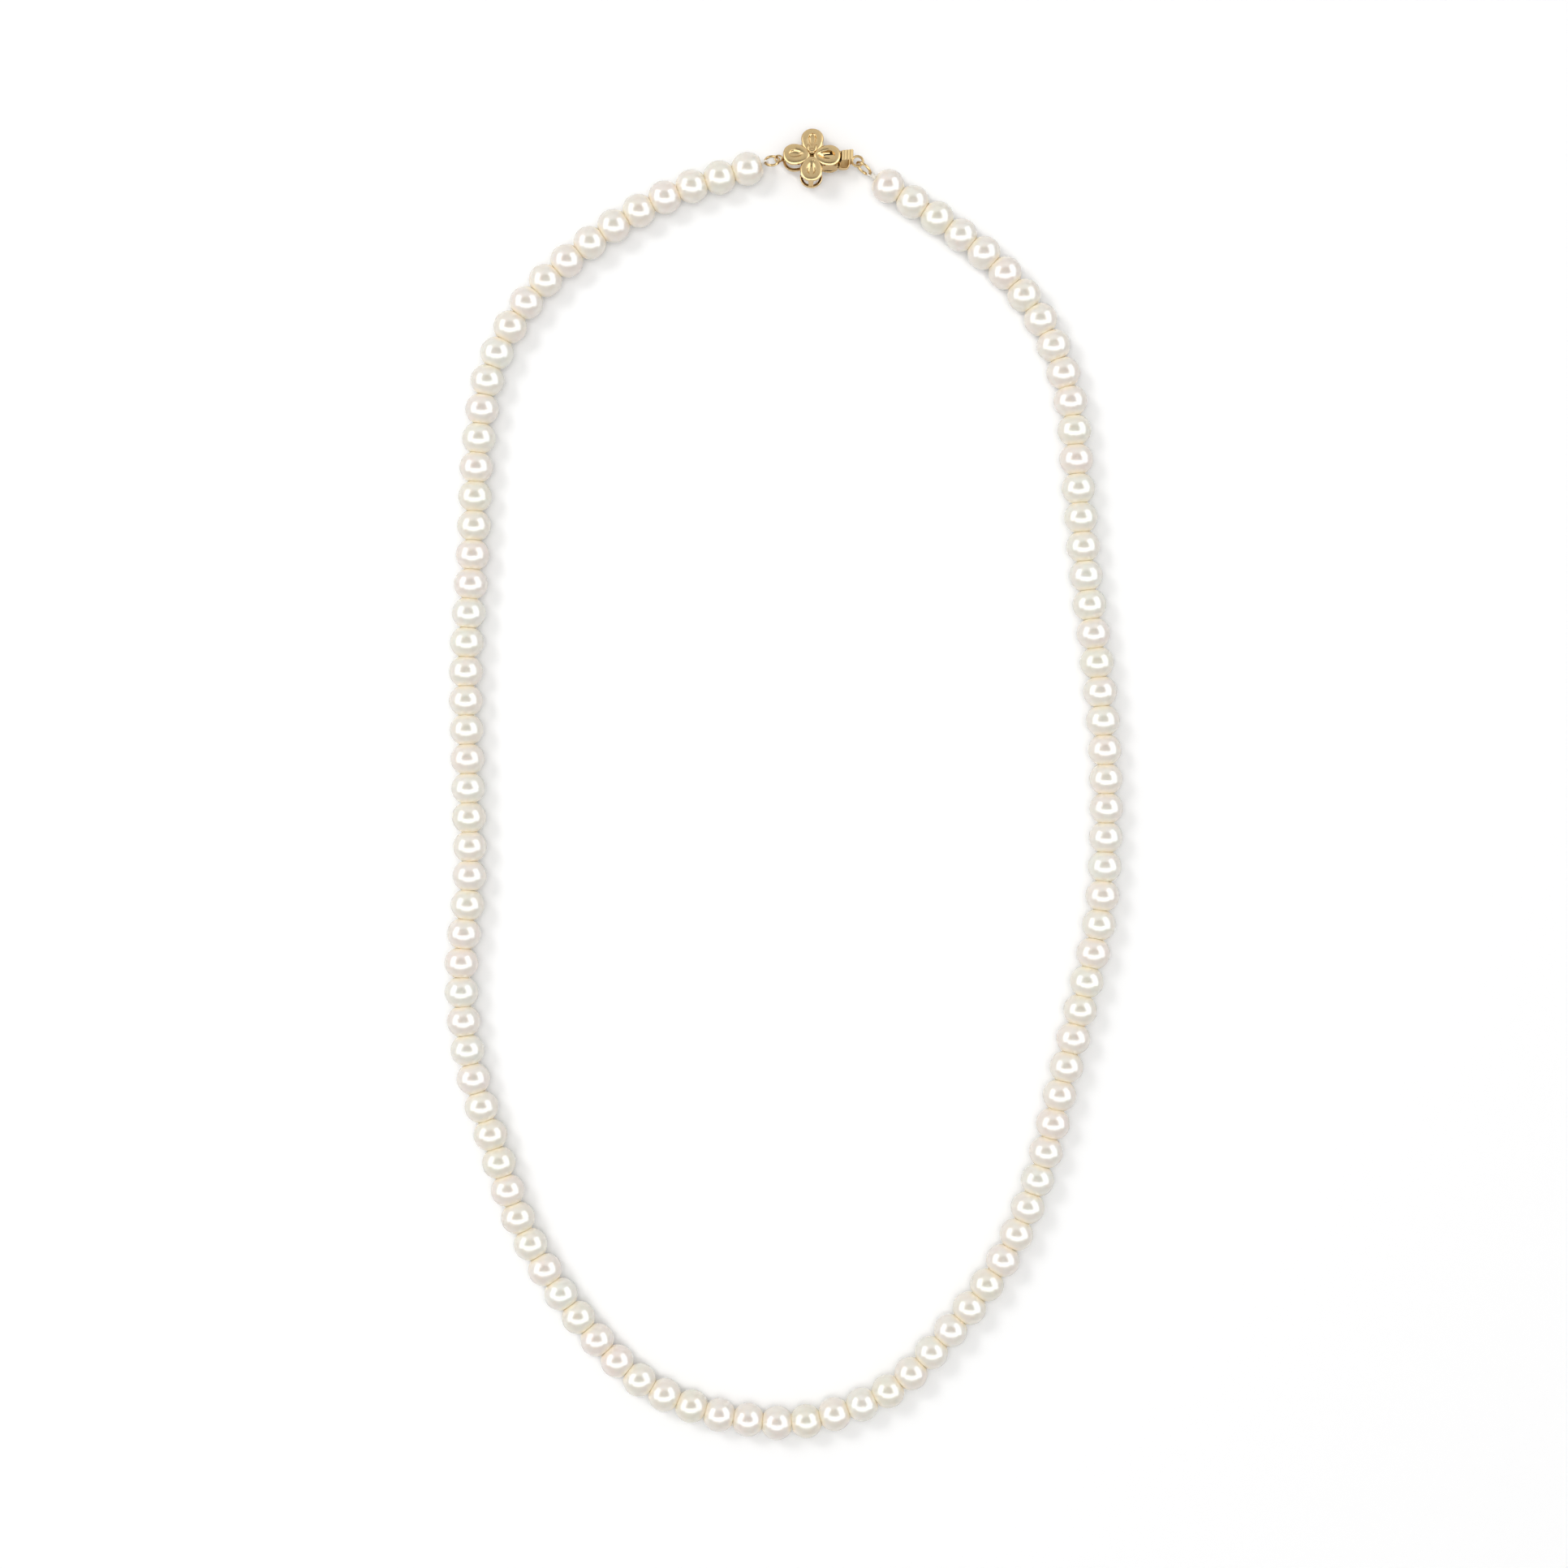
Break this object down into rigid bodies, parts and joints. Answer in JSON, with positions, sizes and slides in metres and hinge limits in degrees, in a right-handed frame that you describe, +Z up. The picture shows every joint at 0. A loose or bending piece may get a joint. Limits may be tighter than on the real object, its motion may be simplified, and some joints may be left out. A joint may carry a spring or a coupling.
{
  "type": "pearl necklace",
  "caption": "Single-strand necklace of near-round pearls on silk, laid in a closed loop and fastened by a four-petal gold box clasp.",
  "frame": {"origin": "centre of the loop's footprint, on the surface that the pearls lie on", "axes": "+Z up out of the surface, +Y from the front centre of the strand towards the clasp, +X to the side that carries the clasp's tongue"},
  "size_m": [0.0984, 0.1902, 0.0052],
  "materials": {
    "nacre": "lustrous pearl nacre, cream with a rose tint",
    "gold": "satin yellow gold with polished edges",
    "silk": "twisted white silk thread"
  },
  "bodies": {
    "clasp_box": {"flower_face": "gold", "gallery_back": "gold", "gallery_post_front": "gold", "gallery_post_rear": "gold", "tongue_housing": "gold", "left_eye_ring": "gold"},
    "tongue": {"tongue_leaf": "gold", "tongue_end_ring": "gold"},
    "thumb_leaf": {"spring_leaf_with_thumb_tab": "gold"},
    "left_link": {"left_jump_ring": "gold"},
    "right_link": {"right_jump_ring": "gold"},
    "left_run_01": {"left_silk_loop": "silk", "left_pearl_run_01": "nacre"},
    "right_run_01": {"right_silk_loop": "silk", "right_pearl_run_01": "nacre"},
    "left_run_02": {"left_pearl_run_02": "nacre"},
    "left_run_03": {"left_pearl_run_03": "nacre"},
    "left_run_04": {"left_pearl_run_04": "nacre"},
    "left_run_05": {"left_pearl_run_05": "nacre"},
    "left_run_06": {"left_pearl_run_06": "nacre"},
    "left_run_07": {"left_pearl_run_07": "nacre"},
    "left_run_08": {"left_pearl_run_08": "nacre"},
    "left_run_09": {"left_pearl_run_09": "nacre"},
    "left_run_10": {"left_pearl_run_10": "nacre"},
    "left_run_11": {"left_pearl_run_11": "nacre"},
    "left_run_12": {"left_pearl_run_12": "nacre"},
    "left_run_13": {"left_pearl_run_13": "nacre"},
    "right_run_02": {"right_pearl_run_02": "nacre"},
    "right_run_03": {"right_pearl_run_03": "nacre"},
    "right_run_04": {"right_pearl_run_04": "nacre"},
    "right_run_05": {"right_pearl_run_05": "nacre"},
    "right_run_06": {"right_pearl_run_06": "nacre"},
    "right_run_07": {"right_pearl_run_07": "nacre"},
    "right_run_08": {"right_pearl_run_08": "nacre"},
    "right_run_09": {"right_pearl_run_09": "nacre"},
    "right_run_10": {"right_pearl_run_10": "nacre"},
    "right_run_11": {"right_pearl_run_11": "nacre"},
    "right_run_12": {"right_pearl_run_12": "nacre"},
    "right_run_13": {"right_pearl_run_13": "nacre"}
  },
  "joints": [
    {"name": "tongue_slide", "type": "slide", "parent": "clasp_box", "child": "tongue", "axis": [0.9994, -0.0332, 0.0108], "range_m": [0, 0.008]},
    {"name": "thumb_press", "type": "hinge", "parent": "tongue", "child": "thumb_leaf", "pos_m": [0.00313, 0.09071, 0.00238], "axis": [0.0349, 0.9505, -0.3088], "range_deg": [0, 3.5], "stiffness_Nm_per_rad": 0.004},
    {"name": "left_link_swing", "type": "hinge", "parent": "clasp_box", "child": "left_link", "pos_m": [-0.0013, 0.09058, 0.00213], "axis": [0.1513, -0.7345, -0.6615], "range_deg": [0, 35]},
    {"name": "right_link_swing", "type": "hinge", "parent": "tongue", "child": "right_link", "pos_m": [0.01104, 0.08975, 0.0023], "axis": [-0.6085, -0.7164, 0.3415], "range_deg": [-35, 35]},
    {"name": "left_end_turn", "type": "hinge", "parent": "left_link", "child": "left_run_01", "pos_m": [-0.00268, 0.09009, 0.00235], "axis": [-0.3275, 0.5942, -0.7347], "range_deg": [0, 35]},
    {"name": "right_end_turn", "type": "hinge", "parent": "right_link", "child": "right_run_01", "pos_m": [0.01249, 0.08857, 0.0024], "axis": [0.1747, 0.2988, 0.9382], "range_deg": [0, 35]},
    {"name": "left_lift_01", "type": "hinge", "parent": "left_run_01", "child": "left_run_02", "pos_m": [-0.0192, 0.08414, 0.00248], "axis": [0.4589, -0.8885, 0], "range_deg": [-9, 9]},
    {"name": "left_spread_02", "type": "hinge", "parent": "left_run_02", "child": "left_run_03", "pos_m": [-0.03393, 0.07543, 0.00248], "axis": [0, 0, -1], "range_deg": [0, 16]},
    {"name": "left_lift_03", "type": "hinge", "parent": "left_run_03", "child": "left_run_04", "pos_m": [-0.04239, 0.06054, 0.00248], "axis": [0.9426, -0.334, 0], "range_deg": [-9, 9]},
    {"name": "left_spread_04", "type": "hinge", "parent": "left_run_04", "child": "left_run_05", "pos_m": [-0.046, 0.04387, 0.00248], "axis": [0, 0, -1], "range_deg": [0, 16]},
    {"name": "left_lift_05", "type": "hinge", "parent": "left_run_05", "child": "left_run_06", "pos_m": [-0.04557, 0.0269, 0.00248], "axis": [0.9974, -0.0715, 0], "range_deg": [-9, 9]},
    {"name": "left_spread_06", "type": "hinge", "parent": "left_run_06", "child": "left_run_07", "pos_m": [-0.04735, 0.00995, 0.00248], "axis": [0, 0, -1], "range_deg": [0, 16]},
    {"name": "left_lift_07", "type": "hinge", "parent": "left_run_07", "child": "left_run_08", "pos_m": [-0.04561, -0.00696, 0.00248], "axis": [0.9996, 0.0269, 0], "range_deg": [-9, 9]},
    {"name": "left_spread_08", "type": "hinge", "parent": "left_run_08", "child": "left_run_09", "pos_m": [-0.04789, -0.02372, 0.00248], "axis": [0, 0, -1], "range_deg": [0, 16]},
    {"name": "left_lift_09", "type": "hinge", "parent": "left_run_09", "child": "left_run_10", "pos_m": [-0.04551, -0.04069, 0.00248], "axis": [0.9793, 0.2026, 0], "range_deg": [-9, 9]},
    {"name": "left_spread_10", "type": "hinge", "parent": "left_run_10", "child": "left_run_11", "pos_m": [-0.04193, -0.05731, 0.00248], "axis": [0, 0, -1], "range_deg": [0, 16]},
    {"name": "left_lift_11", "type": "hinge", "parent": "left_run_11", "child": "left_run_12", "pos_m": [-0.03354, -0.07221, 0.00248], "axis": [0.8372, 0.5469, 0], "range_deg": [-9, 9]},
    {"name": "left_spread_12", "type": "hinge", "parent": "left_run_12", "child": "left_run_13", "pos_m": [-0.02346, -0.08607, 0.00248], "axis": [0, 0, -1], "range_deg": [0, 16]},
    {"name": "right_lift_01", "type": "hinge", "parent": "right_run_01", "child": "right_run_02", "pos_m": [0.02734, 0.07835, 0.00248], "axis": [0.6099, 0.7925, 0], "range_deg": [-9, 9]},
    {"name": "right_spread_02", "type": "hinge", "parent": "right_run_02", "child": "right_run_03", "pos_m": [0.03934, 0.0661, 0.00248], "axis": [0, 0, 1], "range_deg": [0, 16]},
    {"name": "right_lift_03", "type": "hinge", "parent": "right_run_03", "child": "right_run_04", "pos_m": [0.04226, 0.04921, 0.00248], "axis": [0.9977, 0.0672, 0], "range_deg": [-9, 9]},
    {"name": "right_spread_04", "type": "hinge", "parent": "right_run_04", "child": "right_run_05", "pos_m": [0.04485, 0.03244, 0.00248], "axis": [0, 0, 1], "range_deg": [0, 16]},
    {"name": "right_lift_05", "type": "hinge", "parent": "right_run_05", "child": "right_run_06", "pos_m": [0.04562, 0.01551, 0.00248], "axis": [0.9942, 0.1078, 0], "range_deg": [-9, 9]},
    {"name": "right_spread_06", "type": "hinge", "parent": "right_run_06", "child": "right_run_07", "pos_m": [0.04801, -0.00137, 0.00248], "axis": [0, 0, 1], "range_deg": [0, 16]},
    {"name": "right_lift_07", "type": "hinge", "parent": "right_run_07", "child": "right_run_08", "pos_m": [0.04596, -0.0183, 0.00248], "axis": [0.9923, -0.1235, 0], "range_deg": [-9, 9]},
    {"name": "right_spread_08", "type": "hinge", "parent": "right_run_08", "child": "right_run_09", "pos_m": [0.04371, -0.03516, 0.00248], "axis": [0, 0, 1], "range_deg": [0, 16]},
    {"name": "right_lift_09", "type": "hinge", "parent": "right_run_09", "child": "right_run_10", "pos_m": [0.03852, -0.05134, 0.00248], "axis": [0.9714, -0.2376, 0], "range_deg": [-9, 9]},
    {"name": "right_spread_10", "type": "hinge", "parent": "right_run_10", "child": "right_run_11", "pos_m": [0.03391, -0.06783, 0.00248], "axis": [0, 0, 1], "range_deg": [0, 16]},
    {"name": "right_lift_11", "type": "hinge", "parent": "right_run_11", "child": "right_run_12", "pos_m": [0.02278, -0.08086, 0.00248], "axis": [0.7554, -0.6553, 0], "range_deg": [-9, 9]},
    {"name": "right_spread_12", "type": "hinge", "parent": "right_run_12", "child": "right_run_13", "pos_m": [0.00975, -0.09193, 0.00248], "axis": [0, 0, 1], "range_deg": [0, 16]}
  ]
}
